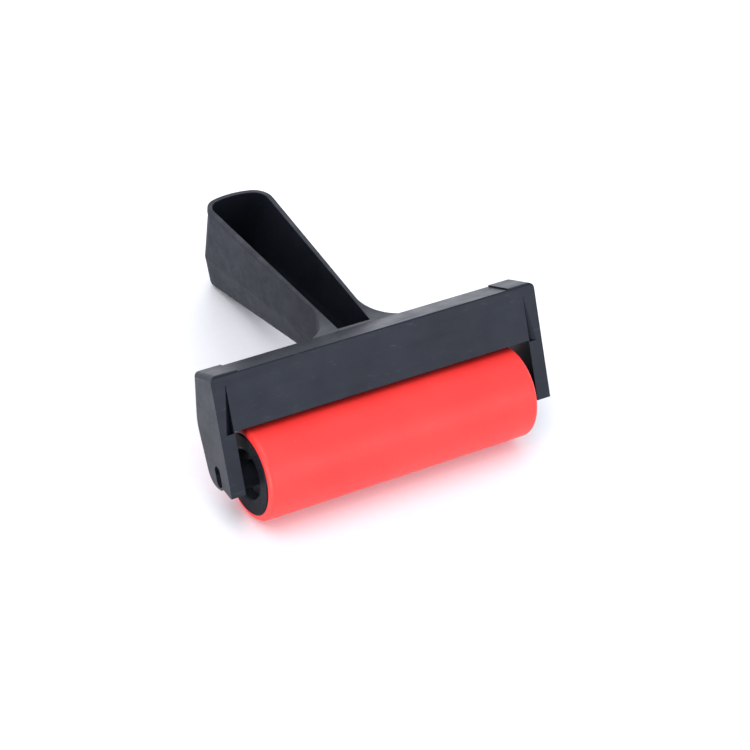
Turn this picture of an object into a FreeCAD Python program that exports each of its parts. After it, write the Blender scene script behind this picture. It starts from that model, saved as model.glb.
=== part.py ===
import FreeCAD, Part
import math
import os

import Sketcher
from FreeCAD import Placement, Rotation, Vector

# Rubber brayer, 100 mm roller.  All lengths in millimetres, all angles in degrees.
#
# The pieces are drawn in the yoke's own axes and then laid down as the brayer rests:
#   X  along the roller's axle, zero at mid-length
#   Y  away from the crossbar's front wall, towards the handle
#   Z  along the arms, from the axle (zero) up to the crossbar
# "Along" and "across" in a handle section are measured in that section's tilted plane,
# from the line where the plane meets the crossbar's back.

SIZES = {
    # roller
    "roller_half": 50.0,
    "roller_radius": 15.7,
    "core_radius": 13.6,
    "core_bore": 11.2,
    "core_half": 48.0,
    "sleeve_edge": 1.7,
    # end caps
    "cap_face": 50.4,
    "cap_end": 42.0,
    "cap_web_in": 45.6,
    "cap_web_out": 47.4,
    "cap_skirt": 9.4,
    "ring_inner": 9.2,
    "recess_mouth": 8.4,
    "recess_foot": 7.2,
    "recess_step": 50.0,
    "hub_radius": 4.2,
    "hub_face": 54.5,
    "hub_bore": 1.55,
    "cap_edge": 0.4,
    # axle
    "axle_radius": 1.5,
    "axle_half": 58.2,
    "axle_edge": 0.3,
    "axle_seat": 1.52,
    # yoke: crossbar and arms
    "yoke_half": 59.8,
    "arm_inner": 54.8,
    "front_top": 8.0,
    "front_low": 7.0,
    "bar_top": 35.3,
    "bar_low": 16.4,
    "roller_gap": 0.9,
    "back_top": 4.4,
    "back_low": 8.3,
    "back_full": 9.5,
    "back_bend": 15.5,
    "back_shoulder": 8.78,
    "back_turn": 22.0,
    "heel_top": 3.0,
    "heel_depth": 3.4,
    "heel_tip": 2.4,
    "notch_back": 2.0,
    "notch_depth": 2.0,
    "toe_depth": 4.2,
    "toe_back": 6.1,
    "wall": 2.2,
    "strip_half": 50.0,
    "strip_sink": 0.5,
    "rib_half": 0.8,
    "rib_spacing": 27.0,
    "channel_front": 5.2,
    "channel_back": 2.8,
    "corner_round": 2.0,
    "edge_round": 1.2,
    "end_round": 2.2,
    "groove_top": 32.0,
    "groove_reach": 0.5,
    "groove_wall": 55.0,
    "groove_depth": 2.4,
    "groove_width": 3.2,
    "groove_tip": 0.03,
    "groove_front": 7.9,
    # axle window in each arm
    "window_depth": 1.9,
    "window_half": 1.7,
    "window_top": 5.4,
    # handle: three sections that its outside is drawn through
    "back_line": 7.0,
    "rim_height": 34.8,
    "rim_slope": 27.5,
    "rim_near": 7.4,
    "rim_corner_across": 5.42,
    "rim_corner_along": 75.95,
    "rim_corner_round": 6.4,
    "rim_end_round": 27.15,
    "waist_height": 24.2,
    "waist_slope": 18.8,
    "waist_near": 7.0,
    "waist_corner_across": 4.7,
    "waist_corner_along": 86.3,
    "waist_corner_round": 5.3,
    "waist_end_round": 25.0,
    "keel_height": 17.0,
    "keel_slope": 14.5,
    "keel_near": 5.6,
    "keel_corner_across": 2.1,
    "keel_corner_along": 92.5,
    "keel_corner_round": 4.2,
    "keel_end_round": 14.0,
    "section_start": 4.0,
    "flare": 14.0,
    "rim_root": 21.7,
    "rim_foot": -2.35,
    "waist_root": 21.4,
    "waist_foot": 1.1,
    "keel_root": 19.8,
    "keel_foot": 2.63,
    # handle: wall, bead, rounded keel and hollow
    "shell": 1.35,
    "bead_out": 0.3,
    "keel_round": 2.5,
    "bead_depth": 1.6,
    "mouth_clear": 1.0,
    "hollow_start": 0.6,
    "floor": 2.2,
    # how the brayer lies: filled in once the yoke's shape is known
    "rest_tilt": 0.0,
    "rest_height": 0.0,
    "rest_shift": 0.0,
}

SIGNS = {"+": 1, "-": -1}

doc = FreeCAD.newDocument("brayer")
sheet = doc.addObject("Spreadsheet::Sheet", "Sizes")


def fill_sheet():
    """Write every driving dimension as a name and a plain number with that alias."""
    for row, (name, number) in enumerate(SIZES.items(), start=1):
        sheet.set(f"A{row}", name)
        sheet.set(f"B{row}", str(number))
        sheet.setAlias(f"B{row}", name)
    doc.recompute()


def set_size(name, number):
    """Change one driving dimension in the sheet."""
    SIZES[name] = number
    sheet.set(sheet.getCellFromAlias(name), str(number))


def bound(formula):
    """Turn a sum of names, such as "bar_top - wall", into an expression on the sheet."""
    return " ".join(word if word in SIGNS or word[0].isdigit() else f"Sizes.{word}"
                    for word in formula.split())


def amount(formula):
    """Add up a sum of names and numbers, such as "bar_top - wall"."""
    total = 0.0
    sign = 1
    for word in formula.split():
        if word in SIGNS:
            sign = SIGNS[word]
            continue
        total += sign * (float(word) if word[0].isdigit() else SIZES[word])
        sign = 1
    return total


def new_body(label):
    body = doc.addObject("PartDesign::Body", label)
    body.Label = label
    return body


def new_sketch(body, name, plane, lift="0", slope="0", back="0"):
    """A sketch on one of the body's origin planes, lifted off it and tilted about X."""
    sketch = body.newObject("Sketcher::SketchObject", name)
    support = [item for item in body.Origin.OriginFeatures if item.Role == plane]
    sketch.AttachmentSupport = [(support[0], "")]
    sketch.MapMode = "FlatFace"
    sketch.AttachmentOffset = Placement(Vector(0, amount(back), amount(lift)),
                                        Rotation(Vector(1, 0, 0), amount(slope)))
    if lift != "0":
        sketch.setExpression("AttachmentOffset.Base.z", bound(lift))
    if back != "0":
        sketch.setExpression("AttachmentOffset.Base.y", bound(back))
    if slope != "0":
        sketch.setExpression("AttachmentOffset.Rotation.Angle", bound(slope))
    return sketch


def drive(sketch, constraint, formula):
    """Add a dimensional constraint whose value follows the sheet."""
    index = sketch.addConstraint(constraint)
    sketch.setExpression(f"Constraints[{index}]", bound(formula))


def pin(sketch, edge, end, across, along):
    """Hold one point of an edge at a place given by two formulas."""
    drive(sketch, Sketcher.Constraint("DistanceX", -1, 1, edge, end, amount(across)), across)
    drive(sketch, Sketcher.Constraint("DistanceY", -1, 1, edge, end, amount(along)), along)


def arc_between(start, end, tangent):
    """Counter-clockwise arc from start to end; tangent is its direction at either of them."""
    chord = end - start
    radius = chord.Length ** 2 / (2 * abs(tangent.normalize().cross(chord).z))
    reach = math.sqrt(radius ** 2 - (chord.Length / 2) ** 2)
    left = Vector(-chord.y, chord.x, 0).normalize()
    centre = start + chord * 0.5 + left * reach
    first = math.atan2(start.y - centre.y, start.x - centre.x)
    last = math.atan2(end.y - centre.y, end.x - centre.x)
    return Part.ArcOfCircle(Part.Circle(centre, Vector(0, 0, 1), radius), first, last)


def outline(sketch, corners):
    """Closed counter-clockwise outline of corners (across, along).

    A straight edge leaves each corner, unless it has a third item: "from line" starts an
    outward arc that carries on smoothly from the edge before, and "to line" starts one
    that runs smoothly into the edge after.
    """
    spots = [Vector(amount(corner[0]), amount(corner[1]), 0) for corner in corners]
    count = len(corners)
    base = sketch.GeometryCount
    smooth = set()
    for index, corner in enumerate(corners):
        before, start = spots[index - 1], spots[index]
        end, after = spots[(index + 1) % count], spots[(index + 2) % count]
        if corner[2:] == ("from line",):
            sketch.addGeometry(arc_between(start, end, start - before))
            smooth.add((index - 1) % count)
        elif corner[2:] == ("to line",):
            sketch.addGeometry(arc_between(start, end, after - end))
            smooth.add(index)
        else:
            sketch.addGeometry(Part.LineSegment(start, end))
    for index in range(count):
        joint = "Tangent" if index in smooth else "Coincident"
        follower = base + (index + 1) % count
        sketch.addConstraint(Sketcher.Constraint(joint, base + index, 2, follower, 1))
    for index, corner in enumerate(corners, start=base):
        pin(sketch, index, 1, corner[0], corner[1])


def rectangle(sketch, left, low, right, high):
    outline(sketch, [(left, low), (right, low), (right, high), (left, high)])


def extrude(body, kind, name, sketch, length, symmetric=False, backwards=False):
    """Pad or Pocket a sketch; a symmetric one is stretched to both sides by length."""
    feature = body.newObject(f"PartDesign::{kind}", name)
    feature.Profile = sketch
    feature.Type = "Length"
    feature.Midplane = symmetric
    feature.Reversed = backwards
    feature.setExpression("Length", f"2 * ({bound(length)})" if symmetric else bound(length))
    body.Tip = feature
    return feature


def grown(name, grow):
    """The formula for a named size made larger by another formula."""
    return name if grow == "0" else f"{name} + {grow}".replace("+ -", "-")


def mirrored(formula):
    """The same sum with every sign turned round."""
    words = formula.split()
    if words[0] not in SIGNS:
        words.insert(0, "+")
    return " ".join({"+": "-", "-": "+"}.get(word, word) for word in words)


def side_line(start, start_radius, corner, corner_radius):
    """Ends of the straight right side, a line that touches two circles.

    It passes the start circle on its left and the corner circle on its right; a start
    circle of no radius is simply the point that the side starts from.
    """
    span = corner - start
    turn = math.atan2(span.y, span.x) - math.asin((corner_radius + start_radius) / span.Length)
    outwards = Vector(math.sin(turn), -math.cos(turn), 0)
    return start - outwards * start_radius, corner + outwards * corner_radius


def round_end(sketch, section, grow, side_start, side_end):
    """Both straight sides and the round far end of a handle section, as six edges."""
    across, along = SIZES[f"{section}_corner_across"], SIZES[f"{section}_corner_along"]
    corner = amount(grown(f"{section}_corner_round", grow))
    end = amount(grown(f"{section}_end_round", grow))
    end_centre = along - math.sqrt((end - corner) ** 2 - across ** 2)
    swing = math.atan2(along - end_centre, across)
    turn = math.atan2(side_end.y - along, side_end.x - across)
    up = Vector(0, 0, 1)
    right = Part.Circle(Vector(across, along, 0), up, corner)
    left = Part.Circle(Vector(-across, along, 0), up, corner)
    far = Part.Circle(Vector(0, end_centre, 0), up, end)
    mirror = Vector(-1, 1, 1)
    first = sketch.GeometryCount
    sketch.addGeometry(Part.LineSegment(side_start, side_end))
    sketch.addGeometry(Part.ArcOfCircle(right, turn, swing))
    sketch.addGeometry(Part.ArcOfCircle(far, swing, math.pi - swing))
    sketch.addGeometry(Part.ArcOfCircle(left, math.pi - swing, math.pi - turn))
    sketch.addGeometry(Part.LineSegment(side_end.scale(*mirror), side_start.scale(*mirror)))
    for edge in range(first, first + 4):
        sketch.addConstraint(Sketcher.Constraint("Tangent", edge, 2, edge + 1, 1))
    across_name, along_name = f"{section}_corner_across", f"{section}_corner_along"
    pin(sketch, first + 1, 3, across_name, along_name)
    pin(sketch, first + 3, 3, f"- {across_name}", along_name)
    for edge in (first + 1, first + 3):
        name = grown(f"{section}_corner_round", grow)
        drive(sketch, Sketcher.Constraint("Radius", edge, corner), name)
    name = grown(f"{section}_end_round", grow)
    drive(sketch, Sketcher.Constraint("Radius", first + 2, end), name)
    return first


def corner_centre(section):
    return Vector(SIZES[f"{section}_corner_across"], SIZES[f"{section}_corner_along"], 0)


def grip_outline(sketch, section, start, grow):
    """Closed plan in one section: a straight near end, opening sides, a round far end."""
    near = grown(f"{section}_near", grow)
    corner = amount(grown(f"{section}_corner_round", grow))
    foot = Vector(amount(near), amount(start), 0)
    foot, touch = side_line(foot, 0, corner_centre(section), corner)
    sketch.addGeometry(Part.LineSegment(Vector(-foot.x, foot.y, 0), foot))
    first = round_end(sketch, section, grow, foot, touch)
    sketch.addConstraint(Sketcher.Constraint("Coincident", 0, 2, first, 1))
    sketch.addConstraint(Sketcher.Constraint("Coincident", first + 4, 2, 0, 1))
    pin(sketch, 0, 2, near, start)
    pin(sketch, 0, 1, mirrored(near), start)


def flared_outline(sketch, section, start, grow="0"):
    """Plan of the handle with its sides swept out to the crossbar in two hollow arcs.

    The whole plan is made larger all round by the grow formula.
    """
    root, foot = f"{section}_root", f"{section}_foot"
    foot_rise = grown(foot, grow)
    flare = amount(grown("flare", mirrored(grow)))
    wide, low, rise = SIZES[root], amount(start), amount(foot_rise)
    centre = Vector(wide, rise + flare, 0)
    corner = amount(grown(f"{section}_corner_round", grow))
    side_start, side_end = side_line(centre, flare, corner_centre(section), corner)
    turn = math.atan2(side_start.y - centre.y, side_start.x - centre.x) % (2 * math.pi)
    bottom = math.pi * 1.5
    up = Vector(0, 0, 1)
    left_centre = Vector(-wide, centre.y, 0)
    sketch.addGeometry(Part.LineSegment(Vector(-wide, low, 0), Vector(wide, low, 0)))
    sketch.addGeometry(Part.LineSegment(Vector(wide, low, 0), Vector(wide, rise, 0)))
    sketch.addGeometry(Part.ArcOfCircle(Part.Circle(centre, up, flare), turn, bottom))
    first = round_end(sketch, section, grow, side_start, side_end)
    left = Part.Circle(left_centre, up, flare)
    sketch.addGeometry(Part.ArcOfCircle(left, bottom, 3 * math.pi - turn))
    sketch.addGeometry(Part.LineSegment(Vector(-wide, rise, 0), Vector(-wide, low, 0)))
    right_arc, left_arc, last = 2, first + 5, first + 6
    sketch.addConstraint(Sketcher.Constraint("Coincident", 0, 2, 1, 1))
    sketch.addConstraint(Sketcher.Constraint("Coincident", 1, 2, right_arc, 2))
    sketch.addConstraint(Sketcher.Constraint("Tangent", right_arc, 1, first, 1))
    sketch.addConstraint(Sketcher.Constraint("Tangent", first + 4, 2, left_arc, 2))
    sketch.addConstraint(Sketcher.Constraint("Coincident", left_arc, 1, last, 1))
    sketch.addConstraint(Sketcher.Constraint("Coincident", last, 2, 0, 1))
    pin(sketch, 0, 1, f"- {root}", start)
    pin(sketch, 1, 1, root, start)
    pin(sketch, 1, 2, root, foot_rise)
    pin(sketch, last, 1, f"- {root}", foot_rise)
    pin(sketch, right_arc, 3, root, f"{foot} + flare")
    pin(sketch, left_arc, 3, f"- {root}", f"{foot} + flare")


def pick_edges(shape, wanted):
    """Names of the edges for which wanted(edge, middle, box) is true."""
    names = []
    for index, edge in enumerate(shape.Edges, start=1):
        middle = edge.valueAt((edge.FirstParameter + edge.LastParameter) / 2)
        if wanted(edge, middle, edge.BoundBox):
            names.append(f"Edge{index}")
    return names


def fillet(body, name, radius, wanted):
    """Round the edges of the body's present shape that wanted() picks."""
    doc.recompute()
    base = body.Tip
    feature = body.newObject("PartDesign::Fillet", name)
    feature.Base = (base, pick_edges(base.Shape, wanted))
    feature.setExpression("Radius", bound(radius))
    body.Tip = feature
    doc.recompute()
    return feature


def section_sketch(body, name, section, lift="0"):
    """Empty sketch in one tilted handle section, raised along its normal by lift."""
    slope = f"{section}_slope"
    turn = Rotation(Vector(1, 0, 0), amount(slope))
    sketch = new_sketch(body, name, "XY_Plane", f"{section}_height", slope, "back_line")
    if lift != "0":
        rise = turn.multVec(Vector(0, 0, amount(lift)))
        sketch.AttachmentOffset = Placement(sketch.AttachmentOffset.Base + rise, turn)
        sketch.setExpression("AttachmentOffset.Base.y",
                             f"Sizes.back_line - ({bound(lift)}) * sin(Sizes.{slope} * 1 deg)")
        sketch.setExpression("AttachmentOffset.Base.z",
                             f"Sizes.{section}_height + ({bound(lift)}) * cos(Sizes.{slope} * 1 deg)")
    return sketch


def above_section(section, point):
    """Height of a point over one handle section, square to that section's plane."""
    slope = math.radians(SIZES[f"{section}_slope"])
    rise = point.z - SIZES[f"{section}_height"]
    run = point.y - SIZES["back_line"]
    return rise * math.cos(slope) - run * math.sin(slope)


def loft(body, kind, name, sections):
    """Join sketches by straight-ruled faces, as material or as a cut."""
    feature = body.newObject(f"PartDesign::{kind}", name)
    feature.Profile = sections[0]
    feature.Sections = sections[1:]
    feature.Ruled = True
    body.Tip = feature
    return feature


def yoke_plates(body):
    """Crossbar and both arms as one thick profile, opened between the arms."""
    profile = new_sketch(body, "side_profile", "YZ_Plane")
    outline(profile, [
        ("- front_low", "- toe_depth"),
        ("- toe_back", "- toe_depth"),
        ("- notch_back", "- notch_depth"),
        ("heel_tip", "- heel_depth", "to line"),
        ("back_low", "heel_top"),
        ("back_full", "back_bend", "from line"),
        ("back_shoulder", "back_turn"),
        ("back_top", "bar_top"),
        ("- front_top", "bar_top"),
    ])
    extrude(body, "Pad", "plates", profile, "yoke_half", symmetric=True)
    opening = new_sketch(body, "between_arms", "XZ_Plane")
    rectangle(opening, "- arm_inner", "- heel_top - back_bend", "arm_inner", "bar_low")
    extrude(body, "Pocket", "roller_space", opening, "back_bend + back_bend", symmetric=True)


def handle_outside(body):
    """Boat-shaped outside of the handle through three sections, its lowest edge rounded."""
    sections = []
    for section in ("rim", "waist", "keel"):
        sketch = section_sketch(body, f"{section}_section", section)
        flared_outline(sketch, section, "- section_start")
        sections.append(sketch)
    loft(body, "AdditiveLoft", "grip", sections)
    past_bar = SIZES["back_full"] + SIZES["keel_round"]
    fillet(body, "keel_edges", "keel_round",
           lambda edge, middle, box: abs(above_section("keel", middle)) < 0.05
           and middle.y > past_bar)


def round_yoke(body):
    """Rounded outer corners of the yoke and the soft front top edge."""
    half = SIZES["yoke_half"]
    top = SIZES["bar_top"]
    front = -SIZES["front_top"]
    fillet(body, "back_corners", "corner_round",
           lambda edge, middle, box: abs(middle.x) > half - 0.1 and middle.y > 4.0
           and box.ZLength > 5.0 and box.XLength < 0.1)
    fillet(body, "top_front_edge", "edge_round",
           lambda edge, middle, box: abs(middle.z - top) < 0.1 and abs(middle.y - front) < 0.1
           and box.XLength > 50.0)


def top_ends(body):
    """Rounded upper ends of the crossbar, seen from the front."""
    sketch = new_sketch(body, "front_view", "XZ_Plane")
    outline(sketch, [
        ("- yoke_half", "- toe_depth - wall"),
        ("yoke_half", "- toe_depth - wall"),
        ("yoke_half", "bar_top - end_round", "from line"),
        ("yoke_half - end_round", "bar_top"),
        ("- yoke_half + end_round", "bar_top", "from line"),
        ("- yoke_half", "bar_top - end_round"),
    ])
    rectangle(sketch, "- yoke_half - wall", "- toe_depth - wall - wall",
              "yoke_half + wall", "bar_top + wall")
    extrude(body, "Pocket", "top_ends", sketch, "back_bend + back_bend", symmetric=True)


def bead(body):
    """Narrow bead round the top of the handle."""
    sketch = section_sketch(body, "bead_section", "rim")
    flared_outline(sketch, "rim", "- section_start", "bead_out")
    extrude(body, "Pad", "rim_bead", sketch, "bead_depth", backwards=True)


def handle_hollow(body):
    """Open top of the handle, one wall thickness inside its outside."""
    sections = []
    for section, lift in (("rim", "mouth_clear"), ("waist", "0"), ("keel", "floor")):
        sketch = section_sketch(body, f"{section}_inside", section, lift)
        grip_outline(sketch, section, "hollow_start", "- shell")
        sections.append(sketch)
    loft(body, "SubtractiveLoft", "hollow", sections)


def bar_channel(body):
    """Underside channel of the crossbar, in four cells between three cross ribs."""
    sketch = new_sketch(body, "channel_cells", "XY_Plane", "bar_low")
    edges = [
        ("- arm_inner", "- rib_spacing - rib_half"),
        ("- rib_spacing + rib_half", "- rib_half"),
        ("rib_half", "rib_spacing - rib_half"),
        ("rib_spacing + rib_half", "arm_inner"),
    ]
    for left, right in edges:
        rectangle(sketch, left, "- channel_front", right, "channel_back")
    extrude(body, "Pocket", "bar_channel", sketch, "bar_top - wall - bar_low", backwards=True)


def circle_sketch(body, name, radius):
    """Sketch of one circle about the axle."""
    sketch = new_sketch(body, name, "YZ_Plane")
    sketch.addGeometry(Part.Circle(Vector(0, 0, 0), Vector(0, 0, 1), amount(radius)))
    sketch.addConstraint(Sketcher.Constraint("Coincident", 0, 3, -1, 1))
    drive(sketch, Sketcher.Constraint("Radius", 0, amount(radius)), radius)
    return sketch


def roller_clearance(body):
    """Round relief between the arms that keeps the crossbar's ribs off the roller."""
    sketch = circle_sketch(body, "clearance_circle", "roller_radius + roller_gap")
    extrude(body, "Pocket", "roller_clearance", sketch, "arm_inner", symmetric=True)


def strip_step(body):
    """Sunk strip along the middle of the crossbar's top."""
    sketch = new_sketch(body, "strip", "XY_Plane", "bar_top")
    rectangle(sketch, "- strip_half", "- front_top - wall", "strip_half", "back_top + wall")
    extrude(body, "Pocket", "top_strip", sketch, "strip_sink")


def wedge_grooves(body):
    """Tapering groove between each end of the front wall and its arm, widest at the bottom."""
    for side, sign in (("left", "-"), ("right", "+")):
        sections = []
        for end, lift, width, depth in (
                ("low", "bar_low - groove_reach", "groove_width", "groove_depth"),
                ("high", "groove_top", "groove_tip", "groove_tip")):
            sketch = new_sketch(body, f"{side}_groove_{end}", "XY_Plane", lift)
            wall = f"{sign} groove_wall"
            corners = [
                (wall, "- groove_front"),
                (f"{wall} {sign} {width}", "- groove_front"),
                (wall, f"- groove_front + {depth}"),
            ]
            outline(sketch, corners if sign == "+" else [corners[0], corners[2], corners[1]])
            sections.append(sketch)
        loft(body, "SubtractiveLoft", f"{side}_groove", sections)


def slot(sketch, half, rise):
    """Upright round-ended slot: its lower end is centred on the sketch's origin."""
    radius, upper = amount(half), Vector(0, amount(rise), 0)
    up = Vector(0, 0, 1)
    low_circle = Part.Circle(Vector(0, 0, 0), up, radius)
    high_circle = Part.Circle(upper, up, radius)
    right = Vector(radius, 0, 0)
    sketch.addGeometry(Part.ArcOfCircle(low_circle, math.pi, 2 * math.pi))
    sketch.addGeometry(Part.LineSegment(right, right + upper))
    sketch.addGeometry(Part.ArcOfCircle(high_circle, 0, math.pi))
    sketch.addGeometry(Part.LineSegment(upper - right, -right))
    for edge in range(4):
        sketch.addConstraint(Sketcher.Constraint("Tangent", edge, 2, (edge + 1) % 4, 1))
    pin(sketch, 0, 3, "0", "0")
    pin(sketch, 2, 3, "0", rise)
    drive(sketch, Sketcher.Constraint("Radius", 0, radius), half)
    drive(sketch, Sketcher.Constraint("Radius", 2, radius), half)


def axle_seats(body):
    """Round seats for the axle through both arms, each under a tall window outside."""
    seat = circle_sketch(body, "seat_circle", "axle_seat")
    extrude(body, "Pocket", "axle_seats", seat, "yoke_half + wall", symmetric=True)
    for side, lift in (("left", "- yoke_half"), ("right", "yoke_half")):
        sketch = new_sketch(body, f"{side}_window_outline", "YZ_Plane", lift)
        slot(sketch, "window_half", "window_top - window_half")
        extrude(body, "Pocket", f"{side}_window", sketch, "window_depth", backwards=side == "left")


def build_yoke():
    """One moulding: crossbar, two arms and hollow handle."""
    body = new_body("handle_frame")
    yoke_plates(body)
    round_yoke(body)
    top_ends(body)
    axle_seats(body)
    handle_outside(body)
    strip_step(body)
    bead(body)
    handle_hollow(body)
    bar_channel(body)
    roller_clearance(body)
    wedge_grooves(body)
    return body


def revolved_piece(label, corners):
    """A piece turned about the axle from its outline of (along the axle, radius) corners."""
    body = new_body(label)
    sketch = new_sketch(body, f"{label}_profile", "XY_Plane")
    outline(sketch, corners)
    turning = body.newObject("PartDesign::Revolution", f"{label}_turning")
    turning.Profile = sketch
    turning.ReferenceAxis = (sketch, ["H_Axis"])
    turning.Angle = 360
    body.Tip = turning
    return body


def build_sleeve():
    """Rubber sleeve with softly broken edges, bonded on the core."""
    body = revolved_piece("rubber_sleeve", [
        ("- roller_half", "core_radius"),
        ("roller_half", "core_radius"),
        ("roller_half", "roller_radius"),
        ("- roller_half", "roller_radius"),
    ])
    rim = SIZES["roller_radius"]
    fillet(body, "sleeve_rims", "sleeve_edge",
           lambda edge, middle, box: box.XLength < 0.1 and box.YLength > 2 * rim - 0.2)
    return body


def build_core():
    """Rigid tube under the rubber."""
    return revolved_piece("roller_core", [
        ("- core_half", "core_bore"),
        ("core_half", "core_bore"),
        ("core_half", "core_radius"),
        ("- core_half", "core_radius"),
    ])


def build_cap(label, sign):
    """Dished end cap: plug in the core, ring over its end and a hub that turns on the axle."""
    half = [
        ("cap_end", "cap_skirt"),
        ("cap_web_in", "cap_skirt"),
        ("cap_web_in", "hub_radius"),
        ("cap_end", "hub_radius"),
        ("cap_end", "hub_bore"),
        ("hub_face", "hub_bore"),
        ("hub_face", "hub_radius"),
        ("cap_web_out", "hub_radius"),
        ("cap_web_out", "recess_foot"),
        ("recess_step", "recess_mouth"),
        ("cap_face", "ring_inner"),
        ("cap_face", "core_radius - cap_edge"),
        ("cap_face - cap_edge", "core_radius"),
        ("core_half", "core_radius"),
        ("core_half", "core_bore"),
        ("cap_end", "core_bore"),
    ]
    corners = [(f"{sign} {along}" if sign == "+" else mirrored(along), radius)
               for along, radius in half]
    return revolved_piece(label, corners)


def build_axle():
    """Plain steel rod through both arms and the roller, ends broken."""
    return revolved_piece("axle_rod", [
        ("- axle_half", "0"),
        ("axle_half", "0"),
        ("axle_half", "axle_radius - axle_edge"),
        ("axle_half - axle_edge", "axle_radius"),
        ("- axle_half + axle_edge", "axle_radius"),
        ("- axle_half", "axle_radius - axle_edge"),
    ])


def lowest(shape, tilt):
    """Height of the lowest point under the axle once the shape is leant back by tilt."""
    turned = shape.copy()
    turned.rotate(Vector(0, 0, 0), Vector(1, 0, 0), -tilt)
    return turned.optimalBoundingBox(False).ZMin


def resting_tilt(shape, radius):
    """Lean at which the handle's end and the roller touch one flat surface."""
    low, high = 0.0, 60.0
    while high - low > 0.001:
        middle = (low + high) / 2
        if lowest(shape, middle) > -radius:
            low = middle
        else:
            high = middle
    return low


def lay_down(bodies, yoke, roller):
    """Place every piece as the brayer rests, over the middle of its own footprint."""
    tilt = resting_tilt(yoke.Shape, SIZES["roller_radius"])
    leaning = yoke.Shape.copy()
    leaning.rotate(Vector(0, 0, 0), Vector(1, 0, 0), -tilt)
    back = leaning.optimalBoundingBox(False).YMax
    set_size("rest_tilt", round(tilt, 3))
    set_size("rest_height", SIZES["roller_radius"])
    set_size("rest_shift", round((SIZES["roller_radius"] - back) / 2, 3))
    for body in bodies:
        body.Placement = Placement(Vector(0, 0, 0), Rotation(Vector(1, 0, 0), -tilt))
        body.setExpression("Placement.Base.y", "Sizes.rest_shift")
        body.setExpression("Placement.Base.z", "Sizes.rest_height")
        body.setExpression("Placement.Rotation.Angle", "-Sizes.rest_tilt")
    doc.recompute()


def check(bodies):
    """Stop if any feature failed or any piece is not one sound solid."""
    for item in doc.Objects:
        if "Invalid" in item.State or "Error" in item.State:
            raise RuntimeError(f"{item.Label} did not compute: {item.State}")
    for body in bodies:
        shape = body.Shape
        if shape.isNull() or not shape.isValid() or len(shape.Solids) != 1:
            raise RuntimeError(f"{body.Label} is not one valid solid")


def export(bodies):
    os.makedirs("parts", exist_ok=True)
    for body in bodies:
        body.Shape.exportStep(f"parts/{body.Label}.step")
        print(f"{body.Label}: {body.Shape.Volume / 1000:.2f} cm3")


def main():
    fill_sheet()
    yoke = build_yoke()
    sleeve = build_sleeve()
    pieces = [
        yoke,
        build_axle(),
        sleeve,
        build_core(),
        build_cap("end_cap_left", "-"),
        build_cap("end_cap_right", "+"),
    ]
    doc.recompute()
    lay_down(pieces, yoke, sleeve)
    check(pieces)
    export(pieces)
    for name in ("rest_tilt", "rest_height", "rest_shift"):
        print(f"{name}: {SIZES[name]}")


main()
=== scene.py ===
"""Looks of the rubber brayer: materials, softened edges, studio light and the camera."""

import math

import bpy
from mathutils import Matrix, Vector


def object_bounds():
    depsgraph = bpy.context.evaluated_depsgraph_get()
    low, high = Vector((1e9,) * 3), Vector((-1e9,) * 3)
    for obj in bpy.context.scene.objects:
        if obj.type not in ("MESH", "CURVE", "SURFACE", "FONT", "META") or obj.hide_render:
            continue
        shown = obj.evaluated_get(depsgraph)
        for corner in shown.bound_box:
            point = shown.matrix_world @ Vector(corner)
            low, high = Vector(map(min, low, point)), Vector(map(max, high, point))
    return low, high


MM = 0.001

CAMERA_PLACE = (-0.3580, -0.5324, 0.5487)
CAMERA_TURN = (49.517, -6.038, -30.758)
CAMERA_LENS = 120.0
CAMERA_SENSOR = 36.0

EDGE_SOFTNESS = 0.45 * MM
EDGE_STEPS = 3
EDGE_ANGLE = 28.0
WELD_DISTANCE = 0.002 * MM
FLAT_ANGLE = 0.6

FLOOR_HALF = 4.0
FLOOR_GAP = 0.05 * MM

# Places along the brayer, in metres, between which the yoke's plastic gives way to the grip's
HANDLE_START = (-0.024, -0.012)
GRIP_DULLNESS = 0.22

SKY_COLOUR = (0.95, 0.985, 1.10, 1.0)
SKY_STRENGTH = 1.0
LIGHT_AIM = (0.0, 0.0, 0.02)

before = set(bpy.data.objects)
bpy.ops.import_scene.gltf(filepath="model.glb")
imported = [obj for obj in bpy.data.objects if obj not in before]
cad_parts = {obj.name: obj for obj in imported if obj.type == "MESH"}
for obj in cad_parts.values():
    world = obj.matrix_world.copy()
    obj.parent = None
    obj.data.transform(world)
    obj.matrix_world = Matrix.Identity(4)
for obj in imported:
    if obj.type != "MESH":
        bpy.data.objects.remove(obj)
cad_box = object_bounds()


# Node helpers


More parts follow.
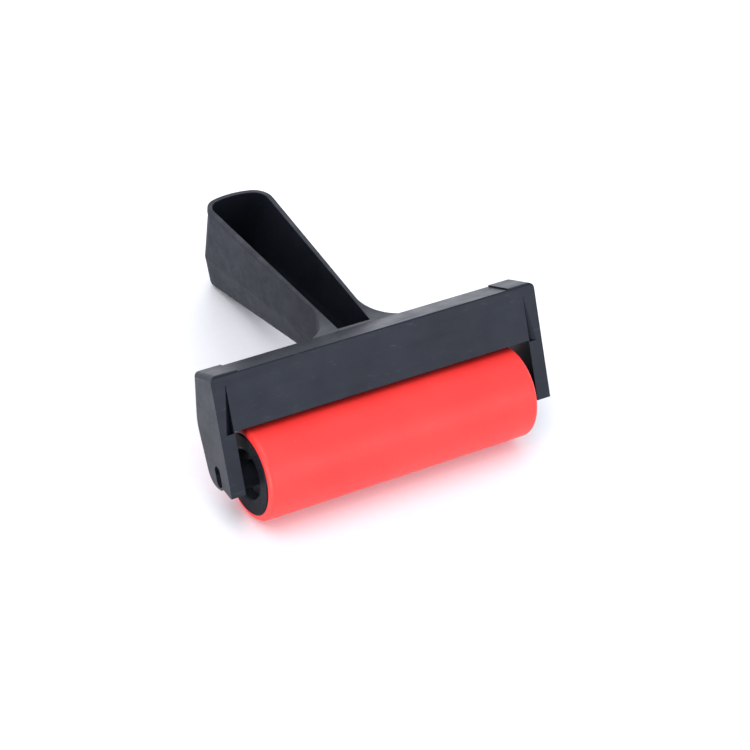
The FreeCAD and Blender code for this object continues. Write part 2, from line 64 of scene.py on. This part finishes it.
class Tree:
    """A material's nodes, with short calls for the few kinds used here."""

    def __init__(self, name):
        self.material = bpy.data.materials.new(name)
        self.material.use_nodes = True
        self.nodes = self.material.node_tree.nodes
        self.links = self.material.node_tree.links
        self.shader = self.nodes["Principled BSDF"]
        self.place = self.add("ShaderNodeTexCoord").outputs["Object"]

    def add(self, kind, **settings):
        node = self.nodes.new(kind)
        for key, value in settings.items():
            setattr(node, key, value)
        return node

    def join(self, source, target):
        self.links.new(source, target)

    def stretched(self, scale):
        """Object coordinates scaled by a different amount along each axis."""
        mapping = self.add("ShaderNodeMapping")
        mapping.inputs["Scale"].default_value = scale
        self.join(self.place, mapping.inputs["Vector"])
        return mapping.outputs["Vector"]

    def noise(self, scale, detail=3.0, place=None):
        node = self.add("ShaderNodeTexNoise")
        node.inputs["Scale"].default_value = scale
        node.inputs["Detail"].default_value = detail
        self.join(place or self.place, node.inputs["Vector"])
        return node.outputs["Fac"]

    def spread(self, factor, low, high, start=0.3, end=0.7):
        """The factor between start and end stretched over low to high."""
        node = self.add("ShaderNodeMapRange")
        node.inputs["From Min"].default_value = start
        node.inputs["From Max"].default_value = end
        node.inputs["To Min"].default_value = low
        node.inputs["To Max"].default_value = high
        self.join(factor, node.inputs["Value"])
        return node.outputs["Result"]

    def towards_handle(self, low, high):
        """From low on the yoke to high on the handle, by the place along the brayer."""
        parts = self.add("ShaderNodeSeparateXYZ")
        self.join(self.place, parts.inputs["Vector"])
        return self.spread(parts.outputs["Y"], low, high, *HANDLE_START)

    def summed(self, first, second):
        """The sum of two sockets."""
        node = self.add("ShaderNodeMath", operation="ADD")
        self.join(first, node.inputs[0])
        self.join(second, node.inputs[1])
        return node.outputs["Value"]

    def blend(self, factor, first, second):
        """Colour between first and second; each is a colour or another socket."""
        node = self.add("ShaderNodeMix", data_type="RGBA")
        self.join(factor, node.inputs["Factor"])
        for socket, value in ((node.inputs[6], first), (node.inputs[7], second)):
            if isinstance(value, tuple):
                socket.default_value = (*value, 1.0)
            else:
                self.join(value, socket)
        return node.outputs[2]

    def bump(self, height, depth, under=None):
        """Relief of a real depth in metres, on top of any relief under it."""
        node = self.add("ShaderNodeBump")
        node.inputs["Strength"].default_value = 1.0
        node.inputs["Distance"].default_value = depth
        self.join(height, node.inputs["Height"])
        if under:
            self.join(under, node.inputs["Normal"])
        return node.outputs["Normal"]

    def set(self, name, value):
        """A constant on the shader's own socket, or a link into it."""
        socket = self.shader.inputs[name]
        if isinstance(value, bpy.types.NodeSocket):
            self.join(value, socket)
        else:
            socket.default_value = value


# Materials


def moulded_plastic(name, dark, light, rough_low, rough_high, shine):
    """Black moulding: fine spark-eroded grain, flow streaks, lighter streaks that are partly
    handling scuffs and partly painted gloss streaks, a duller grip.
    """
    tree = Tree(name)
    cloud = tree.noise(38.0, 4.0)
    streaks = tree.noise(1.0, 5.0, tree.stretched((45.0, 620.0, 620.0)))
    scuff_and_gloss_noise = tree.noise(1.0, 6.0, tree.stretched((260.0, 900.0, 900.0)))
    tint = tree.blend(tree.spread(cloud, 0.0, 1.0), dark, light)
    # Lighter streaks painted into the base colour: partly handling scuffs, partly painted gloss
    # streaks.
    scuff_and_gloss_tone = tuple(channel * 2.2 + 0.010 for channel in light)
    scuff_and_gloss_mask = tree.spread(scuff_and_gloss_noise, 0.0, 0.6, 0.62, 0.76)
    tree.set("Base Color", tree.blend(scuff_and_gloss_mask, tint, scuff_and_gloss_tone))
    patchy = tree.spread(tree.noise(160.0, 5.0), rough_low, rough_high)
    streaked = tree.summed(patchy, tree.spread(streaks, -0.04, 0.03))
    tree.set("Roughness", tree.summed(streaked, tree.towards_handle(0.0, GRIP_DULLNESS)))
    tree.set("IOR", 1.46)
    tree.set("Specular IOR Level", shine)
    tree.set("Specular Tint", (0.80, 0.85, 1.0, 1.0))
    wave = tree.bump(tree.noise(75.0, 2.0), 0.04 * MM)
    flow = tree.bump(streaks, 0.010 * MM, wave)
    tree.set("Normal", tree.bump(tree.noise(3600.0, 2.0), 0.008 * MM, flow))
    return tree.material


def red_rubber():
    """Ground rubber: fine rings left by the grinding wheel, soft sheen and a little lint."""
    tree = Tree("red_rubber")
    cloud = tree.noise(55.0, 4.0)
    rings = tree.noise(1.0, 3.0, tree.stretched((2600.0, 60.0, 60.0)))
    lint = tree.spread(tree.noise(1900.0, 1.0), 0.0, 0.22, 0.74, 0.80)
    tint = tree.blend(tree.spread(cloud, 0.0, 1.0), (0.84, 0.024, 0.019), (0.90, 0.033, 0.026))
    tree.set("Base Color", tree.blend(lint, tint, (0.90, 0.30, 0.27)))
    tree.set("Roughness", tree.spread(rings, 0.42, 0.54))
    tree.set("IOR", 1.50)
    tree.set("Sheen Weight", 0.03)
    tree.set("Sheen Roughness", 0.5)
    fine = tree.bump(tree.noise(2200.0, 3.0), 0.006 * MM)
    tree.set("Normal", tree.bump(rings, 0.008 * MM, fine))
    return tree.material


def drawn_steel():
    """Drawn rod: bright metal with marks along its length and faint stains all over."""
    tree = Tree("axle_steel")
    marks = tree.noise(1.0, 4.0, tree.stretched((120.0, 3200.0, 3200.0)))
    stain = tree.noise(700.0, 4.0)
    tint = tree.blend(tree.spread(stain, 0.0, 1.0), (0.42, 0.41, 0.40), (0.62, 0.62, 0.63))
    tree.set("Base Color", tint)
    tree.set("Metallic", 1.0)
    tree.set("Roughness", tree.spread(marks, 0.22, 0.42))
    tree.set("Normal", tree.bump(marks, 0.006 * MM))
    return tree.material


def pale_floor():
    """Matt paper with a faint grain."""
    tree = Tree("floor_paper")
    grain = tree.noise(420.0, 4.0)
    tree.set("Base Color", tree.blend(grain, (0.86, 0.86, 0.86), (0.90, 0.90, 0.90)))
    tree.set("Roughness", 0.75)
    tree.set("Normal", tree.bump(grain, 0.02 * MM))
    return tree.material


def dress(piece, material):
    """Give the piece this material alone."""
    piece.data.materials.clear()
    piece.data.materials.append(material)


# The frame's moulding


def soften_moulding(piece):
    """Small rounds on the moulding's edges, as a mould leaves them."""
    weld = piece.modifiers.new("weld", "WELD")
    weld.merge_threshold = WELD_DISTANCE
    flat = piece.modifiers.new("flat_faces", "DECIMATE")
    flat.decimate_type = "DISSOLVE"
    flat.angle_limit = math.radians(FLAT_ANGLE)
    soft = piece.modifiers.new("soft_edges", "BEVEL")
    soft.width = EDGE_SOFTNESS
    soft.segments = EDGE_STEPS
    soft.limit_method = "ANGLE"
    soft.angle_limit = math.radians(EDGE_ANGLE)
    soft.use_clamp_overlap = True
    soft.miter_outer = "MITER_ARC"
    even = piece.modifiers.new("even_shading", "WEIGHTED_NORMAL")
    even.keep_sharp = False


# Light, floor and camera


def soft_light(name, place, size, power):
    """A rectangular lamp, unseen by the camera, turned to the middle of the brayer."""
    light = bpy.data.lights.new(name, "AREA")
    light.shape = "RECTANGLE"
    light.size, light.size_y = size
    light.energy = power
    lamp = bpy.data.objects.new(name, light)
    lamp.location = place
    lamp.rotation_euler = (Vector(LIGHT_AIM) - Vector(place)).to_track_quat("-Z", "Y").to_euler()
    lamp.visible_camera = False
    bpy.context.scene.collection.objects.link(lamp)


def make_studio():
    """White surroundings with a soft light above, before, beside and behind the brayer."""
    world = bpy.data.worlds.new("studio")
    bpy.context.scene.world = world
    world.use_nodes = True
    sky = world.node_tree.nodes["Background"]
    sky.inputs["Color"].default_value = SKY_COLOUR
    sky.inputs["Strength"].default_value = SKY_STRENGTH
    soft_light("key_light", (-0.40, -0.10, 1.05), (0.8, 0.8), 5.0)
    soft_light("front_light", (0.50, -0.95, 0.45), (0.8, 0.5), 2.5)
    soft_light("edge_light", (-0.95, -0.50, 0.06), (0.30, 0.10), 5.5)
    soft_light("back_light", (0.48, 0.85, 0.60), (0.6, 0.35), 3.0)
    bpy.context.scene.view_settings.view_transform = "Standard"


def make_floor():
    mesh = bpy.data.meshes.new("floor")
    low = cad_box[0].z - FLOOR_GAP
    corners = [(side * FLOOR_HALF, end * FLOOR_HALF, low)
               for side, end in ((-1, -1), (1, -1), (1, 1), (-1, 1))]
    mesh.from_pydata(corners, [], [(0, 1, 2, 3)])
    floor = bpy.data.objects.new("floor", mesh)
    bpy.context.scene.collection.objects.link(floor)
    dress(floor, pale_floor())


def make_camera():
    lens = bpy.data.cameras.new("camera")
    lens.sensor_width = CAMERA_SENSOR
    lens.lens = CAMERA_LENS
    camera = bpy.data.objects.new("camera", lens)
    camera.location = CAMERA_PLACE
    camera.rotation_euler = [math.radians(angle) for angle in CAMERA_TURN]
    bpy.context.scene.collection.objects.link(camera)
    bpy.context.scene.camera = camera


def main():
    frame_plastic = moulded_plastic(
        "frame_plastic", (0.004, 0.005, 0.008), (0.007, 0.009, 0.013), 0.30, 0.42, 0.36)
    cap_plastic = moulded_plastic(
        "cap_plastic", (0.009, 0.010, 0.013), (0.013, 0.015, 0.018), 0.24, 0.34, 0.03)
    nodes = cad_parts
    for name, material in (
            ("handle_frame", frame_plastic),
            ("axle_rod", drawn_steel()),
            ("rubber_sleeve", red_rubber()),
            ("roller_core", cap_plastic),
            ("end_cap_left", cap_plastic),
            ("end_cap_right", cap_plastic)):
        dress(nodes[name], material)
    soften_moulding(nodes["handle_frame"])
    make_studio()
    make_floor()
    make_camera()


main()
